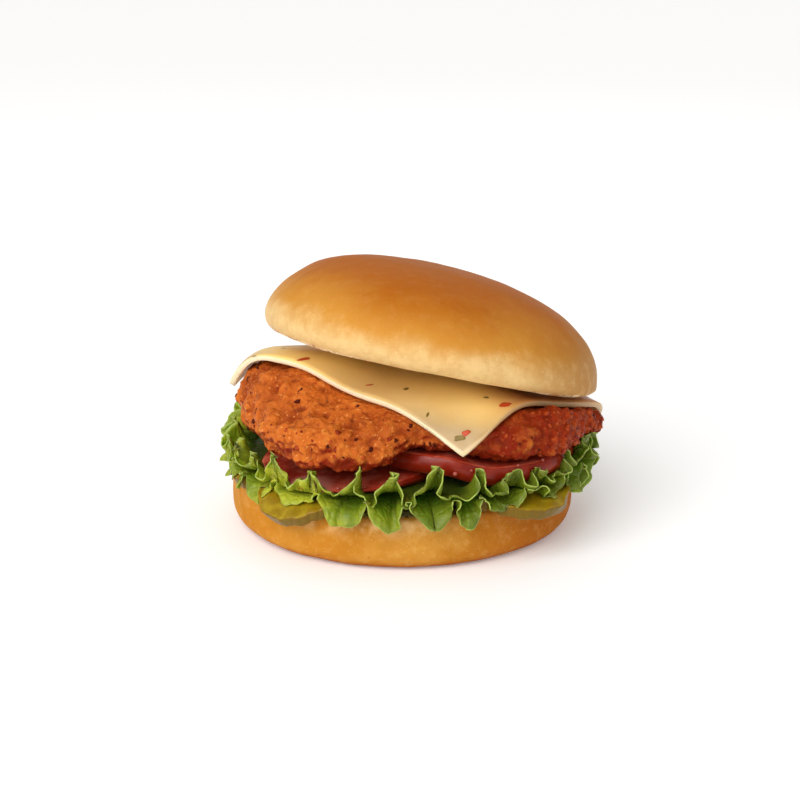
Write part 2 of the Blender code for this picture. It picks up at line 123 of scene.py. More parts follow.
def roughened(piece, pattern, size, depth, middle=0.5, where="", **settings):
    """Pushes the surface in and out by a pattern of this grain size, by depth in all."""
    texture = bpy.data.textures.new(piece.name + " " + pattern.lower(), pattern)
    texture.noise_scale = size
    for setting, value in settings.items():
        setattr(texture, setting, value)
    changed(piece, "DISPLACE", texture=texture, strength=depth, mid_level=middle,
            texture_coords="LOCAL", vertex_group=where)


def tint(red, green, blue):
    """A colour given as it looks on a screen, 0 to 255, as the shader takes it."""
    shares = [c / 255 for c in (red, green, blue)]
    return (*[s / 12.92 if s < 0.04045 else ((s + 0.055) / 1.055) ** 2.4 for s in shares], 1)


def surface(name, roughness, **sockets):
    """A new material whose shader has this roughness and these other constant values."""
    material = bpy.data.materials.new(name)
    material.use_nodes = True
    shader = material.node_tree.nodes["Principled BSDF"]
    shader.inputs["Roughness"].default_value = roughness
    for socket, value in sockets.items():
        shader.inputs[socket.replace("_", " ")].default_value = value
    return material


def worked(material, kind, inputs=None, out=0, **settings):
    """Adds a shader node with these settings and inputs, and gives one of its outputs."""
    node = material.node_tree.nodes.new("ShaderNode" + kind)
    for setting, value in settings.items():
        setattr(node, setting, value)
    for key, value in (inputs or {}).items():
        if isinstance(value, bpy.types.NodeSocket):
            material.node_tree.links.new(value, node.inputs[key])
        else:
            node.inputs[key].default_value = value
    return node.outputs[out]


def position(material):
    """Where each point lies on the piece, in metres."""
    return worked(material, "TexCoord", out="Object")


def along(material, axis, vector=None):
    """The share of X, Y or Z in each point's own place, or in this vector."""
    return worked(material, "SeparateXYZ", {0: vector or position(material)}, out="XYZ".index(axis))


def distance_to(material, place):
    """How far each point lies from one place."""
    inputs = {0: position(material), 1: place}
    return worked(material, "VectorMath", inputs, out=1, operation="DISTANCE")


def grain(material, size, detail=4.0, rough=0.55):
    """A cloudy pattern from 0 to 1 whose blotches are about this size."""
    inputs = {"Vector": position(material), "Scale": 1 / size, "Detail": detail}
    return worked(material, "TexNoise", {**inputs, "Roughness": rough})


def cells(material, size, feature="F1"):
    """Distance to the middle, or to the edge, of cells of about this size."""
    inputs = {"Vector": position(material), "Scale": 1 / size}
    return worked(material, "TexVoronoi", inputs, feature=feature)


def between(material, value, low, high, start=0.0, end=1.0):
    """Start where the value is low, end where it is high, and a smooth change between."""
    inputs = {"Value": value, 1: low, 2: high, 3: start, 4: end}
    return worked(material, "MapRange", inputs, interpolation_type="SMOOTHSTEP")


def summed(material, a, b, operation="ADD"):
    """The sum of two patterns or numbers, or another result of the two."""
    return worked(material, "Math", {0: a, 1: b}, operation=operation)


def times(material, a, b):
    """The product of two patterns or numbers."""
    return summed(material, a, b, "MULTIPLY")


def mixed(material, share, a, b):
    """A colour that goes from a to b with the share."""
    return worked(material, "Mix", {"Factor": share, 6: a, 7: b}, out=2, data_type="RGBA")


def given(material, socket, pattern):
    """Lets a pattern drive one socket of the material's shader."""
    shader = material.node_tree.nodes["Principled BSDF"]
    material.node_tree.links.new(pattern, shader.inputs[socket])


def embossed(material, *heights):
    """Bump from pairs of a pattern and the depth that its whole range stands for."""
    inputs = {"Strength": 1.0}
    for pattern, depth in heights:
        inputs.update(Height=pattern, Distance=depth)
        inputs["Normal"] = worked(material, "Bump", inputs)
    given(material, "Normal", inputs["Normal"])


def facing_up(material, low, high):
    """From 0 to 1 as the surface turns from low to high: 1 faces up, 0 sideways, -1 down."""
    normal = worked(material, "NewGeometry", out="Normal")
    return between(material, along(material, "Z", normal), low, high)


def mottle(material, size):
    """Soft blotches of baked dough: 0.3 in the light ones and -0.3 in the dark ones."""
    return between(material, grain(material, size, 8, 0.65), 0.36, 0.68, -0.3, 0.3)


def bread(material):
    """The torn and toasted crumb of a cut face: pale, with pores and browner patches."""
    pores = between(material, cells(material, 1.6 * MM), 0.15, 0.5)
    toast = between(material, grain(material, 9 * MM), 0.38, 0.68)
    crumb = mixed(material, toast, tint(*CRUMB_PALE), tint(*CRUMB_TOASTED))
    return mixed(material, pores, tint(*CRUMB_PORE), crumb)


heel = copied("heel", "bun_heel")
smoothed(heel, 2, 0.6)
roughened(heel, "CLOUDS", 16 * MM, 0.7 * MM)
roughened(heel, "CLOUDS", 2.5 * MM, 0.12 * MM)
for v in heel.data.vertices:
    v.co.z = max(v.co.z, 0.0)

heel_crust = surface("heel crust", 0.55, Specular_IOR_Level=0.015, Subsurface_Weight=0.1,
                     Subsurface_Scale=0.003)
heel_height = along(heel_crust, "Z")
heel_side = along(heel_crust, "X")
blotches = between(heel_crust, grain(heel_crust, 14 * MM), 0.35, 0.7)
heel_colour = mixed(heel_crust, blotches, tint(*HEEL_GOLD), tint(*HEEL_PALE))
# Painted shade on the right flank, which lies away from the lamps.
on_right = between(heel_crust, heel_side, 10 * MM, 40 * MM, 0.0, 0.7)
heel_colour = mixed(heel_crust, on_right, heel_colour, tint(*HEEL_RIGHT))
# Painted light on the left flank, which faces the lamps.
on_left = between(heel_crust, heel_side, -10 * MM, -34 * MM, 0.0, 0.45)
heel_colour = mixed(heel_crust, on_left, heel_colour, tint(*HEEL_LEFT))
by_base = between(heel_crust, heel_height, 3.4 * MM, 0.2 * MM)
heel_colour = mixed(heel_crust, by_base, heel_colour, tint(*HEEL_BASE))
# A pale highlight painted in patches along the upper front rim.
worn = times(heel_crust, between(heel_crust, heel_height, 9 * MM, 14 * MM),
             between(heel_crust, grain(heel_crust, 7 * MM, 6), 0.42, 0.62))
near_worn = between(heel_crust, distance_to(heel_crust, HEEL_WORN_AT), 24 * MM, 14 * MM, 0.15, 1.0)
worn = times(heel_crust, times(heel_crust, worn, near_worn), 0.5)
heel_colour = mixed(heel_crust, worn, heel_colour, tint(*HEEL_WORN))
speckle = between(heel_crust, cells(heel_crust, 1.3 * MM), 0.2, 0.05, 0.0, 0.2)
heel_colour = mixed(heel_crust, speckle, heel_colour, tint(*HEEL_SPECKLE))
heel_mottle = mottle(heel_crust, 3.2 * MM)
lighter = between(heel_crust, heel_mottle, 0.0, 0.3, 0.0, 0.13)
heel_colour = mixed(heel_crust, lighter, heel_colour, tint(*HEEL_LIGHT_BLOTCH))
darker = between(heel_crust, heel_mottle, 0.0, -0.3, 0.0, 0.12)
heel_colour = mixed(heel_crust, darker, heel_colour, tint(*HEEL_DARK_BLOTCH))
scorched = times(heel_crust, between(heel_crust, cells(heel_crust, 4.5 * MM), 0.16, 0.06),
                 between(heel_crust, heel_height, 7 * MM, 2 * MM, 0.0, 0.6))
heel_colour = mixed(heel_crust, scorched, heel_colour, tint(*HEEL_SCORCH))
on_cut = times(heel_crust, facing_up(heel_crust, 0.75, 0.95),
               between(heel_crust, heel_height, HEEL_CUT - 1.6 * MM, HEEL_CUT))
given(heel_crust, "Base Color", mixed(heel_crust, on_cut, heel_colour, bread(heel_crust)))
embossed(heel_crust, (grain(heel_crust, 1.2 * MM, 6), 0.25 * MM),
         (cells(heel_crust, 3 * MM), 0.1 * MM))
heel.data.materials.append(heel_crust)
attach(heel, "root")
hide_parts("heel")

# The pickles are slices of pickled cucumber, cut with a waved blade. They are wet, with a thin
# olive skin round a yellow-green flesh, and they lie loose on the heel and droop over its edge.

PICKLE_SCALLOPS = 38  # round the edge, from the waved blade and the ribs of the cucumber
PICKLE_SCALLOP_DEPTH = 0.75 * MM
PICKLE_SCALLOP_FROM = 0.8  # share of the way out at which they begin
PICKLE_SKIN = (116, 90, 16)
PICKLE_FLESH = (142, 112, 14)
PICKLE_PALE = (166, 140, 26)
PICKLE_THREADS = (130, 100, 18)

pickle_flesh = surface("pickled cucumber", 0.3, Subsurface_Weight=0.25, Subsurface_Scale=0.003,
                       Specular_IOR_Level=0.18)
clouded = between(pickle_flesh, grain(pickle_flesh, 4 * MM), 0.35, 0.7)
flesh = mixed(pickle_flesh, clouded, tint(*PICKLE_FLESH), tint(*PICKLE_PALE))
threads = between(pickle_flesh, grain(pickle_flesh, 1.3 * MM, 2), 0.55, 0.7, 0.0, 0.35)
flesh = mixed(pickle_flesh, threads, flesh, tint(*PICKLE_THREADS))
side_on = facing_up(pickle_flesh, 0.55, 0.15)
given(pickle_flesh, "Base Color", mixed(pickle_flesh, side_on, flesh, tint(*PICKLE_SKIN)))
embossed(pickle_flesh, (grain(pickle_flesh, 1.5 * MM), 0.15 * MM))

for node in ("pickle_left", "pickle_front_left", "pickle_front_right", "pickle_back"):
    chip = copied(node, node + "_chip")
    smoothed(chip, 3, 0.75)
    roughened(chip, "CLOUDS", 3 * MM, 0.25 * MM)
    middle = sum((v.co for v in chip.data.vertices), Vector()) / len(chip.data.vertices)
    reach = max((v.co.xy - middle.xy).length for v in chip.data.vertices)
    for v in chip.data.vertices:
        outward = v.co.xy - middle.xy
        rim = max(0.0, outward.length / reach - PICKLE_SCALLOP_FROM) / (1 - PICKLE_SCALLOP_FROM)
        wave = 0.5 + 0.5 * math.cos(math.atan2(outward.y, outward.x) * PICKLE_SCALLOPS)
        v.co.xy -= outward.normalized() * (PICKLE_SCALLOP_DEPTH * rim * wave**2)
    chip.data.materials.append(pickle_flesh)
    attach(chip, "root")
    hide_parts(node)

# The lettuce is green leaf lettuce. Its leaves lie flat under the tomato, and their margins, which
# grow longer than the leaf, stand out of the burger in folds with smaller ruffles on them.

LEAF_THICKNESS = 0.36 * MM
LEAF_COLUMNS = 1150  # round the leaf
LEAF_RINGS = (0.0, 22.0 * MM, 38.0 * MM)  # radii of the part that lies flat
LEAF_ROWS = 15  # of the margin
LEAF_HELD = 44 * MM  # radius out to which the burger holds it flat
LEAF_MARGIN = 14 * MM  # from there to the rim, along the leaf
LEAF_FRONT_MARGIN = 2.6 * MM  # how much longer it is at the front
LEAF_LOBES = 1.6 * MM  # how much its length varies by broad lobes
LEAF_TEETH = (0.8 * MM, 0.6 * MM)  # by coarse and by fine teeth
LEAF_RAGGED = 0.5 * MM  # and by a ragged edge
LEAF_RUFFLES = 2.3  # to each large fold
LEAF_RUFFLE = 1.5 * MM  # their height
LEAF_CRINKLE = 0.4 * MM  # height of the finest waves, at the rim only
LEAF_CLEAR = 0.4 * MM  # from the pieces above and below
LEAF_MIDDLE = Vector((2.7 * MM, -0.7 * MM, 0))
LEAF_LIMIT = 58.2 * MM  # the whole leaf lies within this radius of the middle
LEAF_CURB = 4 * MM  # how far within the limit the leaf begins to be held back
LEAVES = (  # height of the flat part, folds round the rim, phase, mean lift of the rim, its swing
    (22.10 * MM, 27, 0.4, -3.0 * MM, 3.2 * MM),
    (22.62 * MM, 31, 2.1, 4.3 * MM, 3.4 * MM),
)
LEAF_TUFTS = (  # bearing, spread, how much higher each leaf stands there, how much wider it swings
    (-176, 20, (3.0 * MM, 3.0 * MM), 0.6 * MM),
    (-150, 14, (0.5 * MM, 0.8 * MM), 0.4 * MM),
    (-124, 13, (1.5 * MM, 0.3 * MM), -0.3 * MM),
    (-95, 14, (0.0 * MM, 0.0 * MM), 1.5 * MM),
    (-68, 10, (0.5 * MM, 0.5 * MM), 0.5 * MM),
    (-48, 17, (2.6 * MM, 0.4 * MM), -0.7 * MM),
    (-20, 18, (1.0 * MM, 2.0 * MM), 0.8 * MM),
    (8, 12, (-1.0 * MM, -1.0 * MM), -0.6 * MM),
    (90, 50, (0.8 * MM, 0.8 * MM), 0.3 * MM),
)
LEAF_GREEN = (110, 126, 20)
LEAF_YELLOWER = (170, 176, 44)
LEAF_SHADED = (82, 96, 20)  # the right side lies away from the light
# painted shade down in the folds; the real inner leaf is paler
LEAF_INNER = (68, 84, 18)
# a painted highlight where light catches the rim
LEAF_RIM = (158, 174, 78)


def solid_of(*nodes):
    """The CAD solids of these nodes as one searchable surface."""
    points, faces = [], []
    for node in nodes:
        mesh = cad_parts[node].data
        first = len(points)
        points += [v.co.copy() for v in mesh.vertices]
        faces += [[first + i for i in face.vertices] for face in mesh.polygons]
    return BVHTree.FromPolygons(points, faces)


carried_by = solid_of("heel", "pickle_left", "pickle_front_left", "pickle_front_right",
                      "pickle_back")
covered_by = solid_of("tomato_left", "tomato_right", "chicken_fillet", "cheese_slice")


def between_layers(point, start):
    """A point of the leaf, kept out of the pieces above and below it."""
    level = Vector((point.x, point.y, start))
    over = covered_by.ray_cast(level, Vector((0, 0, 1)))[0]
    under = carried_by.ray_cast(level, Vector((0, 0, -1)))[0]
    if over:
        point.z = min(point.z, over.z - LEAF_CLEAR)
    if under:
        point.z = max(point.z, under.z + LEAF_CLEAR)
    return point


def uneven(bearing, rate, seed):
    """A steady, repeatable wander between about -1 and 1 round the rim."""
    around = Vector((math.cos(bearing), math.sin(bearing), 0)) * rate
    return 1.6 * noise.noise(around + Vector((0, 0, seed)))


def fold_of(leaf, bearing):
    """Where round the rim the leaf's large folds are in their turn, and the rim's height."""
    _, folds, phase, lift, swing = leaf
    turn = folds * bearing + phase
    turn += 2.4 * uneven(bearing, 2.0, phase + 3) + 1.2 * uneven(bearing, 9.0, phase)
    for tuft, spread, lifts, wider in LEAF_TUFTS:
        off = (math.degrees(bearing) - tuft + 180) % 360 - 180
        near = math.exp(-((off / spread) ** 2))
        lift += lifts[LEAVES.index(leaf)] * near
        swing += wider * near
    size = 1 + 0.25 * uneven(bearing, 4.0, phase + 11) + 0.35 * uneven(bearing, 9.0, phase + 4)
    return turn, (lift + swing * math.sin(turn)) * size


def held_back(point):
    """A point of the margin, kept within the limit by a soft bend."""
    spread = point - LEAF_MIDDLE
    over = (spread.length - LEAF_LIMIT + LEAF_CURB) / LEAF_CURB
    if over > 0:
        spread *= (LEAF_LIMIT - LEAF_CURB + 0.85 * LEAF_CURB * math.tanh(over)) / spread.length
    return LEAF_MIDDLE + spread


def folded(leaf, bearing, share):
    """A point of the margin by its large folds alone, a share of the way out to the rim."""
    height, _, phase, _, _ = leaf
    turn, lift = fold_of(leaf, bearing)
    length = LEAF_MARGIN + LEAF_LOBES * uneven(bearing, 3.0, phase + 7)
    length += LEAF_TEETH[0] * math.sin(LEAF_RUFFLES * turn + 1)
    length += LEAF_TEETH[1] * math.sin(5.3 * turn) + LEAF_RAGGED * uneven(bearing, 70, phase)
    length += LEAF_FRONT_MARGIN * math.sqrt(max(0.0, -math.sin(bearing)))
    reach = math.sqrt(max(length**2 - (1.15 * lift) ** 2, (0.35 * length) ** 2))
    radius = LEAF_HELD + reach * (1 - (1 - share) ** 1.35)
    radius += 2.0 * MM * math.cos(bearing) * share
    bearing += 1.2 * MM * share**2 * math.cos(turn) / radius
    flat = held_back(Vector((radius * math.cos(bearing), radius * math.sin(bearing), 0)))
    return flat + Vector((0, 0, height + lift * share**1.6))


def ruffled(leaf, bearing, share):
    """A point of the margin with the small ruffles too, clear of the pieces round it."""
    here = folded(leaf, bearing, share)
    round_rim = folded(leaf, bearing + 0.004, share) - here
    outwards = here - folded(leaf, bearing, max(share - 0.05, 0))
    turn = fold_of(leaf, bearing)[0]
    ruffle = LEAF_RUFFLES * turn + 1.6 * math.sin(0.6 * turn)
    height = LEAF_RUFFLE * share**1.5 * math.sin(ruffle) * (1 + 0.5 * uneven(bearing, 7, 5))
    height += LEAF_CRINKLE * share**4 * math.sin(2.7 * ruffle + 1)
    point = here + round_rim.cross(outwards).normalized() * height
    point.x = max(point.x, cad_low[0] + LEAF_THICKNESS)
    return between_layers(point, leaf[0])


def sheet_of(leaf, name):
    """One whole leaf: the part that lies flat and the ruffled margin round it."""
    rows = len(LEAF_RINGS) + LEAF_ROWS - 1
    bpy.ops.object.select_all(action="DESELECT")
    bpy.ops.mesh.primitive_grid_add(x_subdivisions=LEAF_COLUMNS, y_subdivisions=rows, size=1)
    sheet = bpy.context.object
    sheet.name = name
    rim = sheet.data.attributes.new("rim", "FLOAT", "POINT")
    for v in sheet.data.vertices:
        bearing, row = 2 * math.pi * v.co.x, round((v.co.y + 0.5) * rows) - len(LEAF_RINGS)
        share = max(row, 0) / (LEAF_ROWS - 1)
        rim.data[v.index].value = share
        if row < 0:
            radius = LEAF_RINGS[row]
            v.co = (radius * math.cos(bearing), radius * math.sin(bearing), leaf[0])
        else:
            v.co = ruffled(leaf, bearing, share)
    bpy.ops.object.mode_set(mode="EDIT")
    bpy.ops.mesh.select_all(action="SELECT")
    bpy.ops.mesh.remove_doubles(threshold=0.01 * MM)
    bpy.ops.mesh.normals_make_consistent(inside=False)
    bpy.ops.object.mode_set(mode="OBJECT")
    changed(sheet, "SOLIDIFY", thickness=LEAF_THICKNESS, offset=0.0)
    sheet.data.shade_smooth()
    return sheet


lettuce, upper_leaf = [sheet_of(leaf, "lettuce_leaves") for leaf in LEAVES]
only(lettuce)
upper_leaf.select_set(True)
bpy.ops.object.join()

leaf_green = surface("lettuce leaf", 0.38, Specular_IOR_Level=0.3, Subsurface_Weight=0.3,
                     Subsurface_Scale=0.0025, Subsurface_Radius=(0.5, 1.0, 0.2))
to_rim = worked(leaf_green, "Attribute", out="Fac", attribute_name="rim")
patches = between(leaf_green, grain(leaf_green, 9 * MM), 0.35, 0.7)
green = mixed(leaf_green, patches, tint(*LEAF_GREEN), tint(*LEAF_YELLOWER))
shaded = between(leaf_green, along(leaf_green, "X"), -35 * MM, 25 * MM, 0.0, 0.75)
green = mixed(leaf_green, shaded, green, tint(*LEAF_SHADED))
# Painted shade on the inner part of the margin, down in the folds.
green = mixed(leaf_green, between(leaf_green, to_rim, 0.2, 0.7), tint(*LEAF_INNER), green)
# A painted highlight along the very rim of the leaf, where light catches it.
green = mixed(leaf_green, between(leaf_green, to_rim, 0.965, 1.0), green, tint(*LEAF_RIM))
given(leaf_green, "Base Color", green)
veins = between(leaf_green, cells(leaf_green, 3.4 * MM, "DISTANCE_TO_EDGE"), 0.0, 0.2)
embossed(leaf_green, (veins, 0.14 * MM), (grain(leaf_green, 2 * MM), 0.35 * MM))
lettuce.data.materials.append(leaf_green)
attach(lettuce, "root")
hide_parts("lettuce")

# The tomato is two slices of a ripe tomato. The skin is a shiny red band round the edge, and the
# cut flesh is paler and wet. The right slice lies on the lettuce and laps over the left one.

TOMATO_SKIN = (126, 26, 10)
TOMATO_SKIN_PALE = (150, 44, 18)
TOMATO_FLESH = (176, 56, 36)
TOMATO_FLESH_PALE = (206, 98, 74)
TOMATO_WALL = (226, 142, 124)
TOMATO_WALL_AT = (-27 * MM, -45 * MM, 25 * MM)  # where the left slice shows its pale wall

tomato_red = surface("ripe tomato", 0.25, Specular_IOR_Level=0.25, Subsurface_Weight=0.15,
                     Subsurface_Scale=0.002)
pulpy = between(tomato_red, grain(tomato_red, 5 * MM), 0.4, 0.65)
pulp = mixed(tomato_red, pulpy, tint(*TOMATO_FLESH), tint(*TOMATO_FLESH_PALE))
by_wall = between(tomato_red, distance_to(tomato_red, TOMATO_WALL_AT), 9 * MM, 4 * MM)
pulp = mixed(tomato_red, by_wall, pulp, tint(*TOMATO_WALL))
ripeness = between(tomato_red, grain(tomato_red, 7 * MM), 0.4, 0.7)
skin = mixed(tomato_red, ripeness, tint(*TOMATO_SKIN), tint(*TOMATO_SKIN_PALE))
cut_face = summed(tomato_red, facing_up(tomato_red, 0.6, 0.9), facing_up(tomato_red, -0.6, -0.9),
                  "MAXIMUM")
given(tomato_red, "Base Color", mixed(tomato_red, cut_face, skin, pulp))
embossed(tomato_red, (grain(tomato_red, 2.5 * MM, 3), 0.12 * MM))

for node in ("tomato_left", "tomato_right"):
    tomato = copied(node, node + "_slice")
    smoothed(tomato, 2, 0.6)
    roughened(tomato, "CLOUDS", 9 * MM, 0.5 * MM)
    tomato.data.materials.append(tomato_red)
    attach(tomato, "root")
    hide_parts(node)

# Small beads of juice stand on the skin and the cut faces of the tomato. The juice is clear, so
# it takes the tomato's colour, and each bead clings there as a round drop.

JUICE_DARK = (150, 44, 28)
JUICE_LIGHT = (196, 100, 80)
JUICE_BEADS = (  # a place near the bead, and its radius, in mm
    ((-29.5, -40.7, 24.3), 0.75),
    ((-26.4, -46.6, 24.0), 0.65),
    ((-23.0, -47.5, 26.5), 0.5),
    ((-18.5, -48.5, 27.0), 0.6),
    ((-33.0, -41.0, 26.5), 0.55),
    ((-11.0, -48.5, 27.5), 0.45),
    ((10.6, -47.6, 29.7), 0.6),
    ((14.9, -48.3, 28.8), 0.7),
    ((19.5, -48.8, 30.0), 0.45),
    ((33.0, -45.0, 31.0), 0.5),
    ((40.5, -40.0, 30.5), 0.55),
    ((-38.0, -34.0, 27.0), 0.5),
)


def joined(bits, name, material):
    """All the bits of one kind as one piece that rides on the burger."""
    only(bits[0])
    for piece in bits:
        piece.select_set(True)
    bpy.ops.object.join()
    bits[0].name = name
    bits[0].data.materials.append(material)
    bits[0].data.shade_smooth()
    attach(bits[0], "root")


cut_tomato = solid_of("tomato_left", "tomato_right")
beads = []
for near, radius in JUICE_BEADS:
    place = cut_tomato.find_nearest(Vector(near) * MM)[0]
    bpy.ops.object.select_all(action="DESELECT")
    bpy.ops.mesh.primitive_uv_sphere_add(segments=16, ring_count=10, radius=radius * MM,
                                         location=place)
    bpy.ops.object.transform_apply(location=True)
    beads.append(bpy.context.object)

juice = surface("tomato juice", 0.06, Specular_IOR_Level=0.6)
juice_colour = mixed(juice, grain(juice, 1 * MM), tint(*JUICE_DARK), tint(*JUICE_LIGHT))
given(juice, "Base Color", juice_colour)
joined(beads, "juice_beads", juice)

# The fillet is a whole piece of chicken breast, breaded and fried. The breading is craggy, orange
# to red brown with dark specks of pepper, and it stands in small crumbs along its edges.

BREADING_VOXEL = 0.62 * MM
BREADING_CRAGS = 8 * MM, 4.6 * MM  # size across and height in all, as for the next three
BREADING_LUMPS = 3.4 * MM, 1.9 * MM
BREADING_KNOBS = 2.4 * MM, -1.0 * MM
BREADING_GRIT = 1.5 * MM, 0.6 * MM
BREADING_PRESSED = 0.6 * MM  # this near another piece it is pressed smooth
BREADING_FREE = 2.2 * MM  # and from here on it is as craggy as it gets
BREADING_ORANGE = (198, 100, 34)
BREADING_RED = (126, 30, 8)
BREADING_END = (180, 62, 16)  # the crags at the right end
BREADING_HOLLOW = (128, 34, 10)
BREADING_GOLD = (222, 136, 50)
BREADING_GLINT = (238, 158, 84)
BREADING_PIT = (110, 36, 16)
BREADING_BARE = (232, 180, 130)  # the meat, where the breading is rubbed off
BREADING_BARE_AT = (-44 * MM, -29.5 * MM, 31 * MM)

fillet = copied("chicken_fillet", "fillet_breading")
smoothed(fillet, 2)
changed(fillet, "REMESH", mode="VOXEL", voxel_size=BREADING_VOXEL, use_smooth_shade=True)
smooth = [(v.co.copy(), v.normal.copy()) for v in fillet.data.vertices]
pressed_on = solid_of("cheese_slice", "tomato_left", "tomato_right", "crown")
free = fillet.vertex_groups.new(name="free")
for v in fillet.data.vertices:
    clear = pressed_on.find_nearest(v.co)[3] - BREADING_PRESSED
    share = clear / (BREADING_FREE - BREADING_PRESSED)
    free.add([v.index], min(1.0, max(0.0, share)), "REPLACE")
roughened(fillet, "CLOUDS", *BREADING_CRAGS, 0.55, "free")
roughened(fillet, "CLOUDS", *BREADING_LUMPS, 0.5, "free", noise_depth=1)
roughened(fillet, "VORONOI", *BREADING_KNOBS, 0.4, "free")
roughened(fillet, "CLOUDS", *BREADING_GRIT, 0.5, noise_depth=2)
raised = fillet.data.attributes.new("raised", "FLOAT", "POINT")
for v, (start, outward) in zip(fillet.data.vertices, smooth):
    raised.data[v.index].value = (v.co - start).dot(outward)
fillet.data.shade_smooth()

breading = surface("fried breading", 0.42, Specular_IOR_Level=0.06)
breading_side = along(breading, "X")
breading_height = along(breading, "Z")
redder = summed(breading, between(breading, breading_side, -20 * MM, 46 * MM),
                between(breading, grain(breading, 12 * MM), 0.3, 0.75, -0.25, 0.35))
# Painted shade underneath: the breading is painted darker red where it faces down and on its lower
# band.
downward = summed(breading, facing_up(breading, 0.05, -0.55),
                  between(breading, breading_height, 34 * MM, 26 * MM), "MAXIMUM")
redder = summed(breading, redder, times(breading, downward, 0.95))
underside = times(breading, between(breading, breading_side, -30 * MM, -18 * MM),
                  between(breading, breading_height, 37.5 * MM, 32 * MM, 0.0, 0.8))
redder = summed(breading, redder, underside)
fried = mixed(breading, redder, tint(*BREADING_ORANGE), tint(*BREADING_RED))
far_right = between(breading, breading_side, 35 * MM, 50 * MM, 0.0, 0.5)
fried = mixed(breading, far_right, fried, tint(*BREADING_END))
stands_out = worked(breading, "Attribute", out="Fac", attribute_name="raised")
# Painted shade in the hollows of the breading.
hollows = between(breading, stands_out, 0.0 * MM, -1.6 * MM, 0.0, 0.6)
fried = mixed(breading, hollows, fried, tint(*BREADING_HOLLOW))
# Painted highlights on the raised crags, fewer where the breading is redder.
tips = times(breading, between(breading, grain(breading, 2.5 * MM, 6), 0.42, 0.7),
             between(breading, stands_out, -0.4 * MM, 1.4 * MM, 0.1, 0.75))
tips = times(breading, tips, between(breading, redder, 0.3, 1.0, 1.0, 0.4))
fried = mixed(breading, tips, fried, tint(*BREADING_GOLD))
glints = times(breading, between(breading, grain(breading, 0.9 * MM, 3), 0.58, 0.7),
               between(breading, redder, 0.9, 0.2, 0.15, 0.65))
fried = mixed(breading, glints, fried, tint(*BREADING_GLINT))
# Painted shade in the small pits between the lumps.
pits = between(breading, cells(breading, 2.0 * MM), 0.55, 0.95, 0.0, 0.6)
fried = mixed(breading, pits, fried, tint(*BREADING_PIT))
to_bare = summed(breading, distance_to(breading, BREADING_BARE_AT),
                 between(breading, grain(breading, 2 * MM, 5), 0.3, 0.7, 0.0, 4.5 * MM))
bare = between(breading, to_bare, 5.2 * MM, 4.2 * MM, 0.0, 0.8)
fried = mixed(breading, bare, fried, tint(*BREADING_BARE))
given(breading, "Base Color", fried)
oily = between(breading, grain(breading, 3 * MM, 3), 0.4, 0.6, 0.22, 0.55)
given(breading, "Roughness", oily)
embossed(breading, (grain(breading, 1.6 * MM, 5), 0.6 * MM),
         (cells(breading, 1.5 * MM), 0.3 * MM), (grain(breading, 0.5 * MM, 3), 0.22 * MM))
fillet.data.materials.append(breading)
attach(fillet, "root")
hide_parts("chicken_fillet")

# Ground pepper and crumbs stick to the breading: the pepper sparsely all over it, and the crumbs
# thickest on its right end, where the batter ran thin and fried into small crags.

FILLET_MIDDLE = (5 * MM, -5 * MM)
FILLET_SEEN_FROM = 90 * MM  # from its middle, well outside it
BITS_CLEAR = 1.2 * MM  # from the pieces that press on the breading
SPECK_DARK = (44, 10, 4)
SPECK_LIGHT = (96, 26, 8)
CRUMB_DARK = (110, 24, 8)
CRUMB_LIGHT = (176, 72, 24)
SPECKS = (  # number, seed, bearings, heights in mm, half size in mm, flatness, how far sunk
    (85, 3, (-200, 20), (26, 52), 1.15, 0.55, 0.25),
    (28, 4, (20, 160), (28, 46), 0.8, 0.55, 0.1),
)
CRUMBS = (
    (312, 5, (-48, 12), (26, 47), 1.4, 0.9, 0.4),
    (208, 6, (-200, 160), (25, 50), 1.1, 0.7, 0.3),
)


def skin_of(piece):
    """The piece's own surface as it now is, to put small things on."""
    mesh = piece.data
    return BVHTree.FromPolygons([v.co for v in mesh.vertices], [f.vertices for f in mesh.polygons])


def bit(long, wide, thick, place, outward, turn, levels=1):
    """One small uneven grain on a surface, by its half sizes and how it is turned on it."""
    bpy.ops.object.select_all(action="DESELECT")
    bpy.ops.mesh.primitive_ico_sphere_add(subdivisions=levels, radius=1)
    lump = bpy.context.object
    for v in lump.data.vertices:
        v.co *= 1 + 0.5 * noise.noise(v.co * 1.3 + place * 900)
    laid = outward.to_track_quat("Z", "Y").to_matrix().to_4x4() @ Matrix.Rotation(turn, 4, "Z")
    shape = Matrix.Diagonal((long, wide, thick, 1))
    lump.data.transform(Matrix.Translation(place) @ laid @ shape)
    return lump


def scattered(skin, count, seed, bearings, heights, size, flatness, sunk):
    """Bits on a surface, found by looking in at it from the sides at seeded random places."""
    rng = random.Random(seed)
    bits = []
    while len(bits) < count:
        bearing = math.radians(rng.uniform(*bearings))
        inward = Vector((-math.cos(bearing), -math.sin(bearing), 0))
        middle = Vector((*FILLET_MIDDLE, rng.uniform(*heights) * MM))
        place, outward, _, _ = skin.ray_cast(middle - inward * FILLET_SEEN_FROM, inward)
        if not place or pressed_on.find_nearest(place)[3] < BITS_CLEAR:
            continue
        long = size * MM * (0.35 + 0.65 * rng.random() ** 1.6)
        wide = long * rng.uniform(0.6, 1.0)
        spot = place - outward * long * sunk
        bits.append(bit(long, wide, long * flatness, spot, outward, rng.uniform(0, 2 * math.pi)))
    return bits


breaded = skin_of(fillet)
specks = [speck for spec in SPECKS for speck in scattered(breaded, *spec)]
pepper = surface("ground pepper", 0.6, Specular_IOR_Level=0.1)
pepper_colour = mixed(pepper, grain(pepper, 1 * MM), tint(*SPECK_DARK), tint(*SPECK_LIGHT))
given(pepper, "Base Color", pepper_colour)
joined(specks, "pepper_specks", pepper)

